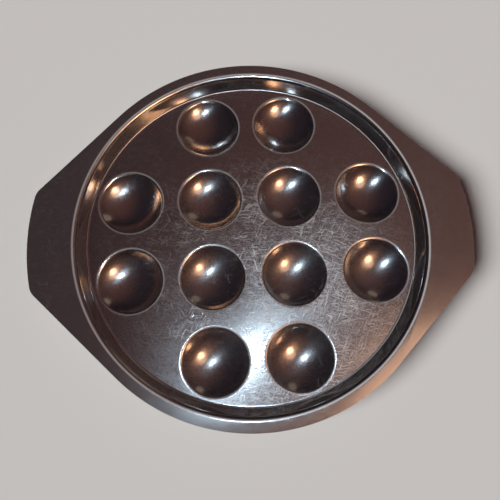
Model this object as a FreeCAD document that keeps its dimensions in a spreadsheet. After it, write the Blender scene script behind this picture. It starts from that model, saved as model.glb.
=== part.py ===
import FreeCAD, Part
import math
import os
import Sketcher

# Escargot plate: one sheet of stainless steel, pressed into a shallow round pan with a flat rim,
# two flat ears that grow out of the rim, and twelve round hollows in the floor.
# Millimetres. +Z is up, the ears point along X, and the plate stands on the bottoms of its
# hollows at z = 0 with its middle over the origin.

SIZES = [
    ("sheet", 0.8, "thickness of the steel"),
    ("hollow_radius", 16.85, "hollow, out to where its lip leaves the floor"),
    ("hollow_depth", 6.7, "floor down to the bottom of a hollow, inside"),
    ("hollow_land", 5.7, "floor left between two neighbouring hollows"),
    ("lip_radius", 3.0, "rounding of a hollow's lip, inside"),
    ("floor_land", 0.1, "flat floor left between the outer hollows and the wall's bend"),
    ("wall_slope", 68.0, "slope of the wall, in degrees"),
    ("rim_height", 7.5, "floor up to the rim, inside"),
    ("foot_bend", 1.6, "bend at the foot of the wall, inside"),
    ("rim_bend", 2.8, "bend between wall and rim, inside"),
    ("rim_width", 4.4, "flat rim where it is narrowest"),
    ("ear_reach", 15.8, "how far an ear stands out past the round rim"),
    ("ear_angle", 45.0, "slope of an ear's straight sides, in degrees"),
    ("ear_corner", 8.0, "rounding of an ear's corners"),
]

doc = FreeCAD.newDocument("EscargotPlate")
sheet = doc.addObject("Spreadsheet::Sheet", "Sizes")
for row, (name, number, meaning) in enumerate(SIZES, 1):
    sheet.set("A%d" % row, meaning)
    sheet.set("B%d" % row, str(number))
    sheet.setAlias("B%d" % row, name)
doc.recompute()

# Levels and radii that follow from the sizes: the flat floor ends at the floor radius, and the
# floor and the rim would meet the wall's line at its foot and its mouth without their bends
FLOOR = "(Sizes.sheet + Sizes.hollow_depth)"
RIM = "(%s + Sizes.rim_height)" % FLOOR
PITCH = "(2 * Sizes.hollow_radius + Sizes.hollow_land)"
FLOOR_RADIUS = "(%s * sqrt(2.5) + Sizes.hollow_radius + Sizes.floor_land)" % PITCH
FOOT_RADIUS = "(%s + Sizes.foot_bend * tan(Sizes.wall_slope / 2))" % FLOOR_RADIUS
MOUTH_RADIUS = "(%s + Sizes.rim_height / tan(Sizes.wall_slope))" % FOOT_RADIUS
RIM_RADIUS = "(%s + Sizes.rim_bend * tan(Sizes.wall_slope / 2) + Sizes.rim_width)" % MOUTH_RADIUS
EAR_RADIUS = "(%s + Sizes.ear_reach)" % RIM_RADIUS

V = FreeCAD.Vector
UP = V(0, 0, 1)


def number(size):
    """The value of a size or of an expression of sizes."""
    return float(sheet.evalExpression(size.replace("Sizes.", "")))


def origin_part(body, role):
    return next(part for part in body.Origin.OriginFeatures if part.Role == role)


def new_sketch(body, name, plane):
    sketch = body.newObject("Sketcher::SketchObject", name)
    sketch.AttachmentSupport = [(origin_part(body, plane), "")]
    sketch.MapMode = "FlatFace"
    return sketch


def line(sketch, start, end):
    return sketch.addGeometry(Part.LineSegment(V(*start, 0), V(*end, 0)), False)


def arc(sketch, centre, radius, start, end):
    """An arc that runs anticlockwise between two angles in degrees."""
    circle = Part.Circle(V(*centre, 0), UP, radius)
    return sketch.addGeometry(Part.ArcOfCircle(circle, math.radians(start), math.radians(end)), False)


def rule(sketch, kind, *where):
    return sketch.addConstraint(Sketcher.Constraint(kind, *where))


def size_rule(sketch, name, size, kind, *where):
    """A dimension of the sketch that follows the sheet."""
    value = number(size)
    index = rule(sketch, kind, *where, math.radians(value) if kind == "Angle" else value)
    sketch.renameConstraint(index, name)
    sketch.setExpression("Constraints." + name, size)


def pan_section(body):
    """Section of the sheet from the middle of the floor out past the ears' tips."""
    floor, rim = number(FLOOR), number(RIM)
    foot, mouth = number(FOOT_RADIUS), number(MOUTH_RADIUS)
    steel, foot_bend, rim_bend = number("Sizes.sheet"), number("Sizes.foot_bend"), number("Sizes.rim_bend")
    blank = "(%s + Sizes.ear_corner)" % EAR_RADIUS
    slope = number("Sizes.wall_slope")
    half = math.tan(math.radians(slope / 2))
    foot_x, mouth_x, edge_x = foot - foot_bend * half, mouth + rim_bend * half, number(blank)

    sketch = new_sketch(body, "PanSection", "XZ_Plane")
    wall_start = (foot + foot_bend * half * math.cos(math.radians(slope)),
                  floor + foot_bend * half * math.sin(math.radians(slope)))
    wall_end = (mouth - rim_bend * half * math.cos(math.radians(slope)),
                rim - rim_bend * half * math.sin(math.radians(slope)))
    across = (steel * math.sin(math.radians(slope)), -steel * math.cos(math.radians(slope)))
    under_start = (wall_start[0] + across[0], wall_start[1] + across[1])
    under_end = (wall_end[0] + across[0], wall_end[1] + across[1])

    top_floor = line(sketch, (0, floor), (foot_x, floor))
    top_foot = arc(sketch, (foot_x, floor + foot_bend), foot_bend, -90, slope - 90)
    top_wall = line(sketch, wall_start, wall_end)
    top_bend = arc(sketch, (mouth_x, rim - rim_bend), rim_bend, 90, 90 + slope)
    top_rim = line(sketch, (mouth_x, rim), (edge_x, rim))
    edge = line(sketch, (edge_x, rim), (edge_x, rim - steel))
    low_rim = line(sketch, (edge_x, rim - steel), (mouth_x, rim - steel))
    low_bend = arc(sketch, (mouth_x, rim - rim_bend), rim_bend - steel, 90, 90 + slope)
    low_wall = line(sketch, under_end, under_start)
    low_foot = arc(sketch, (foot_x, floor + foot_bend), foot_bend + steel, -90, slope - 90)
    low_floor = line(sketch, (foot_x, floor - steel), (0, floor - steel))
    axis = line(sketch, (0, floor - steel), (0, floor))
    corners = sketch.addGeometry(Part.LineSegment(V(foot, floor, 0), V(mouth, rim, 0)), True)

    # The sheet runs smoothly through both bends, on both faces
    rule(sketch, "Tangent", top_floor, 2, top_foot, 1)
    rule(sketch, "Tangent", top_foot, 2, top_wall, 1)
    rule(sketch, "Tangent", top_wall, 2, top_bend, 2)
    rule(sketch, "Tangent", top_bend, 1, top_rim, 1)
    rule(sketch, "Coincident", top_rim, 2, edge, 1)
    rule(sketch, "Coincident", edge, 2, low_rim, 1)
    rule(sketch, "Tangent", low_rim, 2, low_bend, 1)
    rule(sketch, "Tangent", low_bend, 2, low_wall, 1)
    rule(sketch, "Tangent", low_wall, 2, low_foot, 2)
    rule(sketch, "Tangent", low_foot, 1, low_floor, 1)
    rule(sketch, "Coincident", low_floor, 2, axis, 1)
    rule(sketch, "Coincident", axis, 2, top_floor, 1)
    for level in (top_floor, top_rim, low_rim, low_floor):
        rule(sketch, "Horizontal", level)
    rule(sketch, "Vertical", edge)
    rule(sketch, "PointOnObject", top_floor, 1, -2)
    rule(sketch, "PointOnObject", low_floor, 2, -2)
    rule(sketch, "Coincident", low_foot, 3, top_foot, 3)
    rule(sketch, "Coincident", low_bend, 3, top_bend, 3)

    # The wall's face lies on the line between the two sharp corners
    rule(sketch, "PointOnObject", corners, 1, top_floor)
    rule(sketch, "PointOnObject", corners, 2, top_rim)
    rule(sketch, "PointOnObject", top_wall, 1, corners)
    rule(sketch, "PointOnObject", top_wall, 2, corners)
    size_rule(sketch, "foot", FOOT_RADIUS, "DistanceX", -1, 1, corners, 1)
    size_rule(sketch, "mouth", MOUTH_RADIUS, "DistanceX", -1, 1, corners, 2)
    size_rule(sketch, "blank", blank, "DistanceX", -1, 1, edge, 1)
    size_rule(sketch, "floor_level", FLOOR, "DistanceY", -1, 1, top_floor, 1)
    size_rule(sketch, "rim_level", RIM, "DistanceY", -1, 1, top_rim, 2)
    size_rule(sketch, "foot_inside", "Sizes.foot_bend", "Radius", top_foot)
    size_rule(sketch, "foot_outside", "Sizes.foot_bend + Sizes.sheet", "Radius", low_foot)
    size_rule(sketch, "bend_inside", "Sizes.rim_bend", "Radius", top_bend)
    size_rule(sketch, "bend_outside", "Sizes.rim_bend - Sizes.sheet", "Radius", low_bend)
    return sketch


def outline(body):
    """Plan of the plate: a round rim, straight sides tangent to it, rounded ears. The part of
    the blank between this outline and a round waste edge is cut away."""
    rim, ear, corner = number(RIM_RADIUS), number(EAR_RADIUS), number("Sizes.ear_corner")
    side = number("Sizes.ear_angle")
    waste = "(%s + 2 * Sizes.ear_corner)" % EAR_RADIUS

    # The corner's centre is one corner radius inside the tip arc and the straight side
    reach = math.sqrt((ear - corner) ** 2 - (rim - corner) ** 2)
    turn = math.degrees(math.atan2(reach, rim - corner))
    tip = side - turn
    sketch = new_sketch(body, "Outline", "XY_Plane")

    def spot(radius, angle):
        return (radius * math.cos(math.radians(angle)), radius * math.sin(math.radians(angle)))

    def shifted(point, radius, angle):
        step = spot(radius, angle)
        return (point[0] + step[0], point[1] + step[1])

    centres = [spot(ear - corner, a) for a in (tip, 180 - tip, 180 + tip, -tip)]
    tangents = [spot(rim, a) for a in (side, 180 - side, 180 + side, -side)]
    joins = [shifted(c, corner, a) for c, a in zip(centres, (side, 180 - side, 180 + side, -side))]

    right_tip = arc(sketch, (0, 0), ear, -tip, tip)
    corner_1 = arc(sketch, centres[0], corner, tip, side)
    side_1 = line(sketch, joins[0], tangents[0])
    back_rim = arc(sketch, (0, 0), rim, side, 180 - side)
    side_2 = line(sketch, tangents[1], joins[1])
    corner_2 = arc(sketch, centres[1], corner, 180 - side, 180 - tip)
    left_tip = arc(sketch, (0, 0), ear, 180 - tip, 180 + tip)
    corner_3 = arc(sketch, centres[2], corner, 180 + tip, 180 + side)
    side_3 = line(sketch, joins[2], tangents[2])
    front_rim = arc(sketch, (0, 0), rim, 180 + side, 360 - side)
    side_4 = line(sketch, tangents[3], joins[3])
    corner_4 = arc(sketch, centres[3], corner, -side, -tip)
    waste_edge = sketch.addGeometry(Part.Circle(V(0, 0, 0), UP, number(waste)), False)

    # Every join round the outline is smooth
    loop = [right_tip, corner_1, side_1, back_rim, side_2, corner_2,
            left_tip, corner_3, side_3, front_rim, side_4, corner_4]
    for first, second in zip(loop, loop[1:] + loop[:1]):
        rule(sketch, "Tangent", first, 2, second, 1)
    for round_part in (right_tip, back_rim, left_tip, front_rim, waste_edge):
        rule(sketch, "Coincident", round_part, 3, -1, 1)
    rule(sketch, "Equal", right_tip, left_tip)
    rule(sketch, "Equal", back_rim, front_rim)
    for other in (corner_2, corner_3, corner_4):
        rule(sketch, "Equal", corner_1, other)
    size_rule(sketch, "ear", EAR_RADIUS, "Radius", right_tip)
    size_rule(sketch, "rim", RIM_RADIUS, "Radius", back_rim)
    size_rule(sketch, "corner", "Sizes.ear_corner", "Radius", corner_1)
    size_rule(sketch, "waste", waste, "Radius", waste_edge)
    size_rule(sketch, "side_1", "180 - Sizes.ear_angle", "Angle", side_1)
    size_rule(sketch, "side_2", "Sizes.ear_angle - 180", "Angle", side_2)
    size_rule(sketch, "side_3", "-Sizes.ear_angle", "Angle", side_3)
    size_rule(sketch, "side_4", "Sizes.ear_angle", "Angle", side_4)
    return sketch


def hollow_section(body, name, bottom, sphere_grow, top):
    """Half section of a hollow about its own axis, filled up to the level top. The dome and the
    lip share their centres on both faces of the sheet; sphere_grow is how far this face lies
    outside the inner one."""
    floor, lip, radius = number(FLOOR), number("Sizes.lip_radius"), number("Sizes.hollow_radius")
    depth = number("Sizes.hollow_depth")
    inner = (radius ** 2 + depth ** 2) / (2 * depth) - lip
    grow = number(sphere_grow)
    centre, lip_centre = (0, number("Sizes.sheet") + inner), (radius, floor - lip)
    meet = math.degrees(math.atan2(lip_centre[1] - centre[1], radius))

    sketch = new_sketch(body, name, "XZ_Plane")
    dome = arc(sketch, centre, inner + grow, -90, meet)
    lip_arc = arc(sketch, lip_centre, lip - grow, 90, 180 + meet)
    side = line(sketch, (radius, floor - grow), (radius, number(top)))
    lid = line(sketch, (radius, number(top)), (0, number(top)))
    axis = line(sketch, (0, number(top)), (0, number(bottom)))

    rule(sketch, "Tangent", dome, 2, lip_arc, 2)
    rule(sketch, "Coincident", lip_arc, 1, side, 1)
    rule(sketch, "Coincident", side, 2, lid, 1)
    rule(sketch, "Coincident", lid, 2, axis, 1)
    rule(sketch, "Coincident", axis, 2, dome, 1)
    rule(sketch, "Vertical", side)
    rule(sketch, "Horizontal", lid)
    rule(sketch, "PointOnObject", dome, 3, -2)
    rule(sketch, "PointOnObject", dome, 1, -2)
    rule(sketch, "PointOnObject", lid, 2, -2)
    rule(sketch, "Vertical", lip_arc, 3, lip_arc, 1)
    size_rule(sketch, "radius", "Sizes.hollow_radius", "DistanceX", -1, 1, lip_arc, 3)
    size_rule(sketch, "lip_level", "%s - Sizes.lip_radius" % FLOOR, "DistanceY", -1, 1, lip_arc, 3)
    size_rule(sketch, "lip", "Sizes.lip_radius - %s" % sphere_grow, "Radius", lip_arc)
    size_rule(sketch, "top", top, "DistanceY", -1, 1, lid, 1)
    if number(bottom) > 0:
        size_rule(sketch, "bottom", bottom, "DistanceY", -1, 1, dome, 1)
    else:
        rule(sketch, "PointOnObject", dome, 1, -1)
    return sketch


def place(sketch, columns, rows):
    """Move a hollow's section to its axis, a number of pitches from the middle."""
    sketch.setExpression(".AttachmentOffset.Base.x", "%s * %s" % (PITCH, columns))
    sketch.setExpression(".AttachmentOffset.Base.z", "%s * %s" % (PITCH, -rows))


def spin(body, kind, name, sketch):
    feature = body.newObject("PartDesign::" + kind, name)
    feature.Profile = sketch
    feature.ReferenceAxis = (sketch, ["V_Axis"])
    feature.Angle = 360
    return feature


def hollow_rows(body, name, columns, rows, across):
    """One hollow, first the sheet's dome under the floor and then its inside, repeated along
    its row and mirrored to the row on the plate's other half."""
    boss = hollow_section(body, name + "Outside", "0", "Sizes.sheet", "%s - Sizes.sheet / 2" % FLOOR)
    place(boss, columns, rows)
    dome = spin(body, "Revolution", name + "Dome", boss)
    cut = hollow_section(body, name + "Inside", "Sizes.sheet", "0 * Sizes.sheet", RIM)
    place(cut, columns, rows)
    hollow = spin(body, "Groove", name + "Hollow", cut)
    doc.recompute()

    pattern = body.newObject("PartDesign::MultiTransform", name + "Rows")
    pattern.Originals = [dome, hollow]
    row = body.newObject("PartDesign::LinearPattern", name + "Row")
    row.Direction = (origin_part(body, "X_Axis"), [""])
    row.Mode = "Spacing"
    row.Occurrences = across
    row.setExpression("Offset", PITCH)
    halves = body.newObject("PartDesign::Mirrored", name + "Halves")
    halves.MirrorPlane = (origin_part(body, "XZ_Plane"), [""])
    pattern.Transformations = [row, halves]
    body.Tip = pattern
    doc.recompute()
    return pattern


def plate():
    body = doc.addObject("PartDesign::Body", "Plate")
    body.Label = "plate"

    pan = spin(body, "Revolution", "Pan", pan_section(body))
    doc.recompute()

    trim = body.newObject("PartDesign::Pocket", "Trim")
    trim.Profile = outline(body)
    trim.Type = "ThroughAll"
    trim.Reversed = True
    doc.recompute()

    # Two middle rows of four hollows, then the outer rows of two
    hollow_rows(body, "Middle", -1.5, 0.5, 4)
    hollow_rows(body, "Outer", -0.5, 1.5, 2)
    return body


body = plate()
doc.recompute()

for thing in doc.Objects:
    if "Invalid" in thing.State or "Error" in thing.State:
        raise RuntimeError("%s did not compute: %s" % (thing.Name, thing.State))
shape = body.Shape
if shape.isNull() or not shape.isValid() or len(shape.Solids) != 1:
    raise RuntimeError("the plate is not one valid solid")

os.makedirs("parts", exist_ok=True)
shape.exportStep("parts/%s.step" % body.Label)
box = shape.BoundBox
print("plate %.2f x %.2f x %.2f mm, %.0f mm3, %d faces"
      % (box.XLength, box.YLength, box.ZLength, shape.Volume, len(shape.Faces)))
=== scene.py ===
import math
import bmesh
import bpy
from mathutils import Matrix, Vector


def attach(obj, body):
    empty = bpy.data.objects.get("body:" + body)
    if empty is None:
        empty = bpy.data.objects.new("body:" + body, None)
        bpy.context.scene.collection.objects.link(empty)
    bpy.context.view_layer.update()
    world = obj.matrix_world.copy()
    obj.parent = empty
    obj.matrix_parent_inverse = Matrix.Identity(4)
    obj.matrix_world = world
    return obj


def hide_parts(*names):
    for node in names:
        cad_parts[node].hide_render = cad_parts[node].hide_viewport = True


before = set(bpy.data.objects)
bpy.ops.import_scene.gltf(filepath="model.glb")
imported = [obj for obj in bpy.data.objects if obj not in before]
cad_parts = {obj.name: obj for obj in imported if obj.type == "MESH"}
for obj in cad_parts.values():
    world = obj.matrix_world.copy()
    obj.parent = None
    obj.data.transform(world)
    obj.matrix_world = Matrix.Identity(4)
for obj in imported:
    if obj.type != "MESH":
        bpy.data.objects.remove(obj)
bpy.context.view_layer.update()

MM = 0.001

# Sizes of the pressed plate in millimetres, the same as in its construction
SHEET = 0.8
HOLLOW_RADIUS = 16.85
HOLLOW_DEPTH = 6.7
HOLLOW_LAND = 5.7
LIP_RADIUS = 3.0
FLOOR_LAND = 0.1
WALL_SLOPE = math.radians(68)
RIM_HEIGHT = 7.5
FOOT_BEND = 1.6
RIM_BEND = 2.8
RIM_WIDTH = 4.4
EAR_REACH = 15.8
EAR_ANGLE = math.radians(45)
EAR_CORNER = 8.0

# Levels, radii and angles that follow from the sizes
PITCH = 2 * HOLLOW_RADIUS + HOLLOW_LAND
FLOOR = SHEET + HOLLOW_DEPTH
RIM = FLOOR + RIM_HEIGHT
HALF_BEND = math.tan(WALL_SLOPE / 2)
FLOOR_RADIUS = PITCH * math.sqrt(2.5) + HOLLOW_RADIUS + FLOOR_LAND
MOUTH_RADIUS = FLOOR_RADIUS + (FOOT_BEND + RIM_BEND) * HALF_BEND + RIM_HEIGHT / math.tan(WALL_SLOPE)
RIM_RADIUS = MOUTH_RADIUS + RIM_WIDTH
EAR_RADIUS = RIM_RADIUS + EAR_REACH
DOME_AND_LIP = (HOLLOW_RADIUS ** 2 + HOLLOW_DEPTH ** 2) / (2 * HOLLOW_DEPTH)
DOME_RADIUS = DOME_AND_LIP - LIP_RADIUS
DOME_ANGLE = math.asin(HOLLOW_RADIUS / DOME_AND_LIP)
COLUMNS = (-1.5, -0.5, 0.5, 1.5)
HOLLOWS = [(x, y) for y in COLUMNS for x in COLUMNS if abs(x) + abs(y) < 2.5]

# The cut edge is broken here only: how much, how far in it is looked for, and how sharp it is
EDGE_BREAK = 0.12
EDGE_ZONE = 1.4
SHARP = 1.2

# Fineness of the round parts, and how near two points lie when they are one
TURNS_HOLLOW = 80
TURNS_PAN = 288
STEPS_DOME = 24
STEPS_LIP = 10
STEPS_BEND = 6
STEPS_EAR_TIP = 10
STEPS_EAR_CORNER = 8
SAME_POINT = 1e-4
SAME_POLE = 1e-5
LARGE_FACES_FIRST = 90


def swing(bm, vert, centre, axis, angle, steps):
    """Carry a line on from its last point along an arc, and give back its new end."""
    made = bmesh.ops.spin(bm, geom=[vert], cent=centre, axis=axis, angle=angle, steps=steps,
                          use_duplicate=False)
    return next(item for item in made["geom_last"] if isinstance(item, bmesh.types.BMVert))


def run_on(bm, vert, step):
    """Carry a line on from its last point straight ahead, and give back its new end."""
    made = bmesh.ops.extrude_vert_indiv(bm, verts=[vert])
    bmesh.ops.translate(bm, verts=made["verts"], vec=step)
    return made["verts"][0]


def turn_full(bm, steps):
    """Spin the section once about the upright axis, closed at its pole and its seam."""
    bmesh.ops.spin(bm, geom=bm.verts[:] + bm.edges[:], cent=(0, 0, 0), axis=(0, 0, 1),
                   angle=2 * math.pi, steps=steps, use_merge=True)
    bmesh.ops.remove_doubles(bm, verts=bm.verts[:], dist=SAME_POLE)


def hollow_face(drop):
    """A hollow's dome, and the lip that rolls out onto the floor, a drop below the upper face."""
    bm = bmesh.new()
    bottom = bm.verts.new((0, 0, SHEET - drop))
    end = swing(bm, bottom, (0, 0, SHEET + DOME_RADIUS), (0, -1, 0), DOME_ANGLE, STEPS_DOME)
    swing(bm, end, (HOLLOW_RADIUS, 0, FLOOR - LIP_RADIUS), (0, 1, 0), DOME_ANGLE, STEPS_LIP)
    turn_full(bm, TURNS_HOLLOW)
    return bm


def wall_face(drop):
    """The sloped wall and its two bends, a drop below the upper face."""
    straight = RIM_HEIGHT / math.sin(WALL_SLOPE) - (FOOT_BEND + RIM_BEND) * HALF_BEND
    bm = bmesh.new()
    start = bm.verts.new((FLOOR_RADIUS, 0, FLOOR - drop))
    end = swing(bm, start, (FLOOR_RADIUS, 0, FLOOR + FOOT_BEND), (0, -1, 0), WALL_SLOPE, STEPS_BEND)
    end = run_on(bm, end, (straight * math.cos(WALL_SLOPE), 0, straight * math.sin(WALL_SLOPE)))
    swing(bm, end, (MOUTH_RADIUS, 0, RIM - RIM_BEND), (0, 1, 0), WALL_SLOPE, STEPS_BEND)
    turn_full(bm, TURNS_PAN)
    return bm


def rim_outline(level):
    """The plate's outline at one level, a quarter of it from an ear's tip round to the rim,
    mirrored both ways."""
    inner_ear, inner_rim = EAR_RADIUS - EAR_CORNER, RIM_RADIUS - EAR_CORNER
    tip = EAR_ANGLE - math.acos(inner_rim / inner_ear)
    corner = Vector((math.cos(tip), math.sin(tip), 0)) * inner_ear
    rim_start = Vector((math.cos(EAR_ANGLE), math.sin(EAR_ANGLE), 0)) * RIM_RADIUS
    bm = bmesh.new()
    start = bm.verts.new((EAR_RADIUS, 0, level))
    end = swing(bm, start, (0, 0, 0), (0, 0, 1), tip, STEPS_EAR_TIP)
    end = swing(bm, end, corner, (0, 0, 1), EAR_ANGLE - tip, STEPS_EAR_CORNER)
    end = run_on(bm, end, rim_start - end.co * Vector((1, 1, 0)))
    swing(bm, end, (0, 0, 0), (0, 0, 1), math.pi / 2 - EAR_ANGLE, TURNS_PAN // 8)
    for axis in ("X", "Y"):
        bmesh.ops.mirror(bm, geom=bm.verts[:] + bm.edges[:], axis=axis, merge_dist=SAME_POINT)
    bmesh.ops.remove_doubles(bm, verts=bm.verts[:], dist=SAME_POINT)
    return bm


def add_part(bm, part, move=(0, 0, 0)):
    """Add another mesh, moved into its place."""
    mesh = bpy.data.meshes.new("part")
    part.to_mesh(mesh)
    part.free()
    mesh.transform(Matrix.Translation(move))
    bm.from_mesh(mesh)
    bpy.data.meshes.remove(mesh)


def open_edges(bm, level):
    """The edges at one level that still have a free side."""
    return [edge for edge in bm.edges if len(edge.link_faces) < 2
            and all(abs(vert.co.z - level) < SAME_POINT for vert in edge.verts)]


def sheet_face(drop):
    """One whole face of the sheet, a drop below its upper face: hollows, wall, floor, rim, ears."""
    bm = bmesh.new()
    for column, row in HOLLOWS:
        add_part(bm, hollow_face(drop), (column * PITCH, row * PITCH, 0))
    add_part(bm, wall_face(drop))
    bmesh.ops.triangle_fill(bm, edges=open_edges(bm, FLOOR - drop), normal=(0, 0, 1))
    add_part(bm, rim_outline(RIM - drop))
    bmesh.ops.triangle_fill(bm, edges=open_edges(bm, RIM - drop), normal=(0, 0, 1))
    return bm


def pressed_plate(finish):
    """Both faces of the sheet, joined round the cut edge, which is broken a little."""
    bm = sheet_face(0)
    add_part(bm, sheet_face(SHEET))
    bmesh.ops.bridge_loops(bm, edges=open_edges(bm, RIM) + open_edges(bm, RIM - SHEET))
    bmesh.ops.remove_doubles(bm, verts=bm.verts[:], dist=SAME_POINT)
    bmesh.ops.recalc_face_normals(bm, faces=bm.faces[:])
    cut_edge = [edge for edge in bm.edges if edge.verts[0].co.xy.length > RIM_RADIUS - EDGE_ZONE
                and edge.calc_face_angle(0) > SHARP]
    bmesh.ops.bevel(bm, geom=cut_edge, offset=EDGE_BREAK, segments=2, profile=0.5,
                    affect="EDGES", material=-1)
    bmesh.ops.scale(bm, vec=(MM, MM, MM), verts=bm.verts[:])
    mesh = bpy.data.meshes.new("plate_sheet")
    bm.to_mesh(mesh)
    bm.free()
    mesh.shade_smooth()
    mesh.materials.append(finish)
    plate = bpy.data.objects.new("plate_sheet", mesh)
    bpy.context.scene.collection.objects.link(plate)
    flats = plate.modifiers.new("level_flats", "WEIGHTED_NORMAL")
    flats.weight = LARGE_FACES_FIRST
    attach(plate, "root")
    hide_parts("plate")
    return plate


# Finish of the steel: its colours, and the angle in degrees and stretch of its highlights
STEEL = (0.62, 0.60, 0.58, 1)
FRESH_SCRATCH = (0.95, 0.96, 0.98, 1)
STREAK_ANGLE = 40
STREAK_STRETCH = 0.55

# Marks in the steel: angles in degrees, sizes in millimetres, depths as shares of a scratch's
SCRATCH_LENGTHS = (5, 8, 14)
SCRATCH_WIDTH = 0.18
SCRATCH_DEPTH = 0.010
HAIRLINE_ANGLES = (5, 62, 155)
HAIRLINE_SIZE = (5.0, 0.32, 5.0)
HAIRLINE_DEPTH = 0.9
HAIRLINE_PALENESS = 0.45
GRAIN_ANGLE = 132
GRAIN_SIZE = (20, 0.3, 20)
GRAIN_DEPTH = 0.2
PATCH_SIZE = 25
CLOUD_SIZE = 14
HAZE_SIZE = 0.12

# Where forks work most: a place, and the distances at which their marks start and stop to fade
MOST_USED = (8, -27, FLOOR)
FADE_START = 30
FADE_STOP = 85

# Lines of wear and painted highlight, each a level and a strength: worn lips of the hollows, the bend
# at the rim with wear and a painted highlight, and a painted highlight at the foot of the wall
WORN_AND_HIGHLIGHT_LINES = ((FLOOR, 0.4), (RIM, 1.0), (FLOOR + 0.4, 0.8))
LINE_DROP = 0.13
LINE_CORE = 0.06
LINE_REACH = 0.14

# Roughness of the polish, what is added to it, and the share of the haze that the wall is spared
POLISH_LOW = 0.12
POLISH_HIGH = 0.15
HAZE = 0.12
HAZE_IF_USED = 0.06
HAZE_IF_WORN = 0.22
SCRATCH_ROUGHNESS = 0.30
LINE_ROUGHNESS = 0.10
WALL_SPARED = 0.8

# Share of the light that scratches and the lines at the bends scatter instead of reflecting it. The
# lines' pale share is wear at the lips, wear and a painted highlight at the rim bend, and a painted
# highlight at the wall's foot
SCRATCH_SCATTER = 0.9
LINE_SCATTER_AND_HIGHLIGHT = 0.55


def compute(tree, operation, *values):
    """A Math node; each value is a number or another node's output."""
    made = tree.nodes.new("ShaderNodeMath")
    made.operation = operation
    for socket, value in zip(made.inputs, values):
        if isinstance(value, (int, float)):
            socket.default_value = value
        else:
            tree.links.new(value, socket)
    return made.outputs[0]


def highest(tree, values):
    """The highest of a list of values."""
    top = values[0]
    for value in values[1:]:
        top = compute(tree, "MAXIMUM", top, value)
    return top


def fade(tree, value, low, high, start=0.0, end=1.0):
    """Turn a value between low and high into one between start and end, held at both ends."""
    made = tree.nodes.new("ShaderNodeMapRange")
    made.interpolation_type = "SMOOTHSTEP"
    tree.links.new(value, made.inputs["Value"])
    for name, number in (("From Min", low), ("From Max", high), ("To Min", start), ("To Max", end)):
        made.inputs[name].default_value = number
    return made.outputs["Result"]


def blend(tree, share, first, second):
    """One colour where the share is 0, the other where it is 1."""
    made = tree.nodes.new("ShaderNodeMix")
    made.data_type = "RGBA"
    socket = {item.identifier: item for item in made.inputs}
    socket["A_Color"].default_value = first
    socket["B_Color"].default_value = second
    tree.links.new(share, socket["Factor_Float"])
    return next(item for item in made.outputs if item.identifier == "Result_Color")


def stretched(tree, place, lengths, angle=0.0, shift=0.0):
    """The place in units of three lengths in millimetres, turned about the upright axis and
    shifted, so that two patterns alike don't fall together."""
    turned = tree.nodes.new("ShaderNodeMapping")
    turned.vector_type = "TEXTURE"
    turned.inputs["Location"].default_value = (shift * MM, shift * MM, 0)
    turned.inputs["Rotation"].default_value = (0, 0, math.radians(angle))
    turned.inputs["Scale"].default_value = [length * MM for length in lengths]
    tree.links.new(place, turned.inputs["Vector"])
    return turned.outputs["Vector"]


def noise(tree, place, detail=0.0):
    """Soft noise round 0.5, with blots about one unit of the place wide."""
    made = tree.nodes.new("ShaderNodeTexNoise")
    made.inputs["Scale"].default_value = 1.0
    made.inputs["Detail"].default_value = detail
    tree.links.new(place, made.inputs["Vector"])
    return made.outputs["Fac"]


def mottle(tree, place, size, detail=0.0):
    """Noise with blots about as wide as given, in millimetres."""
    return noise(tree, stretched(tree, place, (size, size, size)), detail)


def scratches(tree, place, length, share, angle=0.0, spread=180.0):
    """Fine scratches in a share of the patches, which are as wide as a scratch is long: up to 1
    in a scratch, 0 beside it. By chance each is from 0.4 of the length to all of it, bows a
    little, and runs at the angle give or take half the spread, here in millimetres and degrees."""
    spots = stretched(tree, place, (length, length, length), 0, 3 * length + angle)
    cells = tree.nodes.new("ShaderNodeTexVoronoi")
    cells.voronoi_dimensions = "2D"
    cells.inputs["Scale"].default_value = 1.0
    tree.links.new(spots, cells.inputs["Vector"])
    chance = tree.nodes.new("ShaderNodeSeparateColor")
    tree.links.new(cells.outputs["Color"], chance.inputs[0])
    away = tree.nodes.new("ShaderNodeVectorMath")
    away.operation = "SUBTRACT"
    tree.links.new(spots, away.inputs[0])
    tree.links.new(cells.outputs["Position"], away.inputs[1])
    turned = tree.nodes.new("ShaderNodeVectorRotate")
    turned.rotation_type = "Z_AXIS"
    tree.links.new(away.outputs[0], turned.inputs["Vector"])
    turn = compute(tree, "MULTIPLY_ADD", chance.outputs[0], math.radians(-spread),
                   math.radians(spread / 2 - angle))
    tree.links.new(turn, turned.inputs["Angle"])
    split = tree.nodes.new("ShaderNodeSeparateXYZ")
    tree.links.new(turned.outputs[0], split.inputs[0])
    along, across = split.outputs["X"], split.outputs["Y"]
    bow = compute(tree, "MULTIPLY", compute(tree, "MULTIPLY_ADD", chance.outputs[2], 0.2, -0.1),
                  compute(tree, "MULTIPLY", along, along))
    off_line = compute(tree, "ABSOLUTE", compute(tree, "ADD", across, bow))
    thin = fade(tree, off_line, 0.4 * SCRATCH_WIDTH / length, 0.9 * SCRATCH_WIDTH / length, 1.0, 0.0)
    shorten = compute(tree, "MULTIPLY_ADD", chance.outputs[2], 1.5, 1.0)
    off_middle = compute(tree, "ABSOLUTE", compute(tree, "MULTIPLY", along, shorten))
    ends = fade(tree, off_middle, 0.15, 0.5, 1.0, 0.0)
    strength = compute(tree, "POWER", fade(tree, chance.outputs[1], 1 - share, 1.0), 1.3)
    return compute(tree, "MULTIPLY", compute(tree, "MULTIPLY", thin, ends), strength)


def hairlines(tree, place, angle):
    """Dense fine scratches at one angle: 1 in a scratch, 0 beside it."""
    streaks = noise(tree, stretched(tree, place, HAIRLINE_SIZE, angle, angle), 1.0)
    return fade(tree, streaks, 0.59, 0.70)


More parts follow.
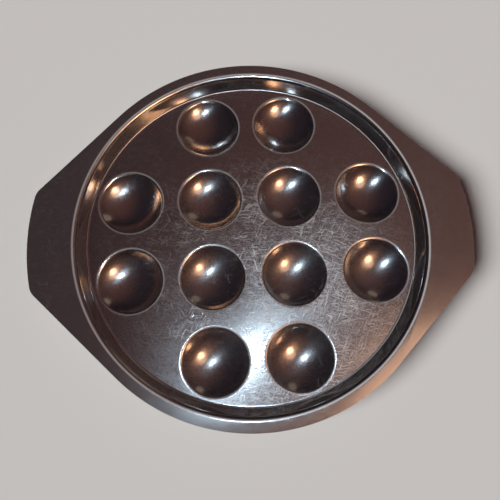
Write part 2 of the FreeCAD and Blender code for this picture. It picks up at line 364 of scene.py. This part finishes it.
def specks(tree, place, gap, size, share):
    """Small pits, a gap apart and as wide as given, in millimetres."""
    cells = tree.nodes.new("ShaderNodeTexVoronoi")
    cells.inputs["Scale"].default_value = 1.0
    tree.links.new(stretched(tree, place, (gap, gap, gap)), cells.inputs["Vector"])
    kept = fade(tree, cells.outputs["Color"], 1 - share, 1 - share + 0.02)
    return compute(tree, "MULTIPLY", fade(tree, cells.outputs["Distance"], 0, size / gap, 1, 0), kept)


def height_of(tree, place):
    """How high the place lies."""
    split = tree.nodes.new("ShaderNodeSeparateXYZ")
    tree.links.new(place, split.inputs[0])
    return split.outputs["Z"]


def off_level(tree, place, level):
    """How far the place lies above or below a level, which is given in millimetres."""
    return compute(tree, "ABSOLUTE", compute(tree, "SUBTRACT", height_of(tree, place), level * MM))


def wear(tree, place):
    """1 on the level floor, rim and ears, where forks and stacking scratch the steel, and less
    in the hollows and on the wall."""
    nearest = compute(tree, "MINIMUM", off_level(tree, place, FLOOR), off_level(tree, place, RIM))
    return fade(tree, nearest, 0.02 * MM, 0.3 * MM, 1.0, 0.2)


def on_wall(tree, place):
    """1 on the steep part of the wall, which forks and stacking don't reach, else 0."""
    height = height_of(tree, place)
    foot = fade(tree, height, (FLOOR + 0.3) * MM, (FLOOR + 1.0) * MM)
    head = fade(tree, height, (RIM - 1.2) * MM, (RIM - 0.4) * MM, 1.0, 0.0)
    return compute(tree, "MULTIPLY", foot, head)


def most_used(tree, place):
    """1 where forks work most, a little in front of the middle, and less away from it."""
    away = tree.nodes.new("ShaderNodeVectorMath")
    away.operation = "DISTANCE"
    away.inputs[1].default_value = [length * MM for length in MOST_USED]
    tree.links.new(place, away.inputs[0])
    return fade(tree, away.outputs["Value"], FADE_START * MM, FADE_STOP * MM, 1.0, 0.12)


def marked(tree, place, worn, used):
    """How much a place is marked: in patches, and most where the plate is worn and used."""
    patches = fade(tree, mottle(tree, place, PATCH_SIZE, 3.0), 0.36, 0.58, 0.3, 1.0)
    near = compute(tree, "MULTIPLY_ADD", compute(tree, "POWER", used, 2.0), 0.95, 0.05)
    return compute(tree, "MULTIPLY", worn, compute(tree, "MULTIPLY", patches, near))


def scratches_and_specks(tree, place):
    """Scratches of several lengths that run all ways, a set that runs mostly one way, and pits."""
    marks = [scratches(tree, place, length, share=0.7) for length in SCRATCH_LENGTHS]
    marks.append(scratches(tree, place, length=7, share=0.8, angle=120, spread=40))
    marks.append(specks(tree, place, gap=1.6, size=0.13, share=0.3))
    return highest(tree, marks)


def worn_and_highlight_line(tree, place, level, strength):
    """The strength in a thin line just below a level, else 0: wear where the lips are rubbed, wear
    and a painted highlight at the rim bend, and a painted highlight at the foot of the wall.
    """
    off_line = off_level(tree, place, level - LINE_DROP)
    return fade(tree, off_line, LINE_CORE * MM, LINE_REACH * MM, strength, 0.0)


def relief(tree, place, cut):
    """The cuts and, much shallower, the grain of the sheet, which runs across the streaks."""
    grain = noise(tree, stretched(tree, place, GRAIN_SIZE, GRAIN_ANGLE), 1.0)
    height = compute(tree, "SUBTRACT", compute(tree, "MULTIPLY", grain, GRAIN_DEPTH), cut)
    bump = tree.nodes.new("ShaderNodeBump")
    bump.inputs["Strength"].default_value = 1.0
    bump.inputs["Distance"].default_value = SCRATCH_DEPTH * MM
    tree.links.new(height, bump.inputs["Height"])
    return bump.outputs["Normal"]


def dullness(tree, place, worn, used, cut, worn_and_highlight):
    """Roughness: a cloudy polish, a haze of finer scratches between mirror-bright spots too small to
    see, and what the cuts and the lines of wear and painted highlight add."""
    polish = fade(tree, mottle(tree, place, CLOUD_SIZE, 4.0), 0.3, 0.7, POLISH_LOW, POLISH_HIGH)
    spots = fade(tree, mottle(tree, place, HAZE_SIZE), 0.41, 0.65)
    more = compute(tree, "MULTIPLY", used,
                   compute(tree, "MULTIPLY_ADD", worn, HAZE_IF_WORN, HAZE_IF_USED))
    haze = compute(tree, "MULTIPLY", spots, compute(tree, "ADD", more, HAZE))
    clean = compute(tree, "MULTIPLY_ADD", on_wall(tree, place), -WALL_SPARED, 1.0)
    dull = compute(tree, "MULTIPLY", haze, clean)
    dull = compute(tree, "ADD", dull, compute(tree, "MULTIPLY", cut, SCRATCH_ROUGHNESS))
    dull = compute(tree, "ADD", dull, compute(tree, "MULTIPLY", worn_and_highlight, LINE_ROUGHNESS))
    return compute(tree, "ADD", polish, dull)


def along_streaks(tree):
    """The direction in which the highlights are stretched."""
    made = tree.nodes.new("ShaderNodeCombineXYZ")
    made.inputs["X"].default_value = math.cos(math.radians(STREAK_ANGLE))
    made.inputs["Y"].default_value = math.sin(math.radians(STREAK_ANGLE))
    return made.outputs["Vector"]


def polished_steel():
    """Steel sheet, once polished, now dulled by fine scratches that run several ways."""
    material = bpy.data.materials.new("polished_steel")
    material.use_nodes = True
    tree = material.node_tree
    place = tree.nodes.new("ShaderNodeTexCoord").outputs["Object"]
    worn = wear(tree, place)
    used = most_used(tree, place)
    share = marked(tree, place, worn, used)
    scored = compute(tree, "MULTIPLY", scratches_and_specks(tree, place), share)
    # Hairlines stay off the hollows and the wall more than the longer scratches do
    fine = highest(tree, [hairlines(tree, place, angle) for angle in HAIRLINE_ANGLES])
    fine = compute(tree, "MULTIPLY", fine, compute(tree, "MULTIPLY", worn, share))
    cut = compute(tree, "MAXIMUM", scored, compute(tree, "MULTIPLY", fine, HAIRLINE_DEPTH))
    pale = compute(tree, "MAXIMUM", scored, compute(tree, "MULTIPLY", fine, HAIRLINE_PALENESS))
    # Thin pale lines at the bends: worn lips of the hollows, the rim bend with wear and a painted
    # highlight, and a painted highlight at the foot of the wall
    worn_and_highlight = highest(tree, [worn_and_highlight_line(tree, place, level, strength)
                            for level, strength in WORN_AND_HIGHLIGHT_LINES])
    scatter_and_highlight = compute(tree, "ADD", compute(tree, "MULTIPLY", pale, SCRATCH_SCATTER),
                      compute(tree, "MULTIPLY", worn_and_highlight, LINE_SCATTER_AND_HIGHLIGHT))

    shader = tree.nodes["Principled BSDF"]
    shader.inputs["Anisotropic"].default_value = STREAK_STRETCH
    tree.links.new(along_streaks(tree), shader.inputs["Tangent"])
    tree.links.new(relief(tree, place, cut), shader.inputs["Normal"])
    dull = dullness(tree, place, worn, used, cut, worn_and_highlight)
    tree.links.new(dull, shader.inputs["Roughness"])
    # Lower metallic turns the scratches and the lines at the bends pale; at the rim bend and the
    # wall's foot, this paleness is a painted highlight
    tree.links.new(compute(tree, "SUBTRACT", 1.0, scatter_and_highlight), shader.inputs["Metallic"])
    tree.links.new(blend(tree, pale, STEEL, FRESH_SCRATCH), shader.inputs["Base Color"])
    return material


# Studio: the pale floor, whose size is in metres, and the two sides of the dim room
GROUND_SIZE = 4.0
GROUND_COLOUR = (0.70, 0.69, 0.67, 1)
GROUND_ROUGHNESS = 0.9
DARK_SIDE = (0.025, 0.018, 0.024, 1)
WARM_SIDE = (0.112, 0.050, 0.042, 1)

# Lamps that only the steel shows: name, place in millimetres, power, colour, width in millimetres
STEEL_LAMPS = (
    ("near_lamp", (-3, -60, 222), 0.10, (0.62, 0.82, 1.0), 12),
    ("warm_lamp", (276, -220, 462), 0.34, (1.0, 0.52, 0.27), 140),
    ("low_lamp", (245, -235, 80), 0.042, (1.0, 0.52, 0.27), 75),
    ("warm_glow", (262, -140, 478), 0.14, (1.0, 0.60, 0.40), 230),
    ("far_lamp", (330, 550, 190), 0.025, (1.0, 0.75, 0.58), 200),
)

# Camera of the photograph: its place in millimetres, its turn in degrees, its lens and nearest view
CAMERA_PLACE = (-6.57, -55.82, 208.65 + FLOOR)
CAMERA_TURN = (13.1909, -0.8148, -2.8323)
CAMERA_LENS = 31.70
CAMERA_SENSOR = 36.0
CAMERA_NEAREST = 0.01


def plain_floor():
    """A plain pale floor, which isn't part of the plate."""
    bm = bmesh.new()
    bmesh.ops.create_grid(bm, x_segments=1, y_segments=1, size=GROUND_SIZE)
    mesh = bpy.data.meshes.new("floor")
    bm.to_mesh(mesh)
    bm.free()
    floor = bpy.data.objects.new("floor", mesh)
    bpy.context.scene.collection.objects.link(floor)
    material = bpy.data.materials.new("pale_floor")
    material.use_nodes = True
    shader = material.node_tree.nodes["Principled BSDF"]
    shader.inputs["Base Color"].default_value = GROUND_COLOUR
    shader.inputs["Roughness"].default_value = GROUND_ROUGHNESS
    mesh.materials.append(material)


def lamp(name, kind, place, power, colour, size):
    """A lamp at a place in millimetres, turned to the middle of the plate. A sun's size is an
    angle in degrees, another lamp's is its width in millimetres."""
    light = bpy.data.lights.new(name, kind)
    light.energy = power
    light.color = colour
    if kind == "SUN":
        light.angle = math.radians(size)
    else:
        light.shape = "DISK"
        light.size = size * MM
    made = bpy.data.objects.new(name, light)
    made.location = Vector(place) * MM
    made.rotation_euler = Vector(place).to_track_quat("Z", "Y").to_euler()
    made.visible_camera = False
    bpy.context.scene.collection.objects.link(made)
    return made


def dim_room():
    """A dim room, warm towards the right and overhead, and darker near the horizon."""
    world = bpy.data.worlds.new("dim_room")
    bpy.context.scene.world = world
    world.use_nodes = True
    tree = world.node_tree
    split = tree.nodes.new("ShaderNodeSeparateXYZ")
    tree.links.new(tree.nodes.new("ShaderNodeTexCoord").outputs["Generated"], split.inputs[0])
    towards = compute(tree, "MULTIPLY_ADD", split.outputs["Z"], 1.2,
                      compute(tree, "SUBTRACT", split.outputs["X"], 1.2))
    sides = blend(tree, fade(tree, towards, -0.9, 0.6), DARK_SIDE, WARM_SIDE)
    back = tree.nodes["Background"]
    tree.links.new(sides, back.inputs["Color"])
    tree.links.new(fade(tree, split.outputs["Z"], 0.0, 0.75, 0.35, 1.0), back.inputs["Strength"])


def studio():
    """A soft white key for the floor, small lamps that only the steel shows, a dim warm room."""
    key = lamp("soft_key", "SUN", place=(-700, -250, 650), power=3.5, colour=(1, 1, 1), size=30)
    key.visible_glossy = False
    for name, place, power, colour, width in STEEL_LAMPS:
        lamp(name, "AREA", place, power, colour, width).visible_diffuse = False
    dim_room()


def photo_camera():
    """A camera that sees the plate as the photograph does."""
    data = bpy.data.cameras.new("camera")
    data.lens = CAMERA_LENS
    data.sensor_width = CAMERA_SENSOR
    data.clip_start = CAMERA_NEAREST
    camera = bpy.data.objects.new("camera", data)
    camera.location = Vector(CAMERA_PLACE) * MM
    camera.rotation_euler = [math.radians(angle) for angle in CAMERA_TURN]
    bpy.context.scene.collection.objects.link(camera)
    bpy.context.scene.camera = camera


pressed_plate(polished_steel())
plain_floor()
studio()
photo_camera()
bpy.context.scene.view_settings.view_transform = "Standard"
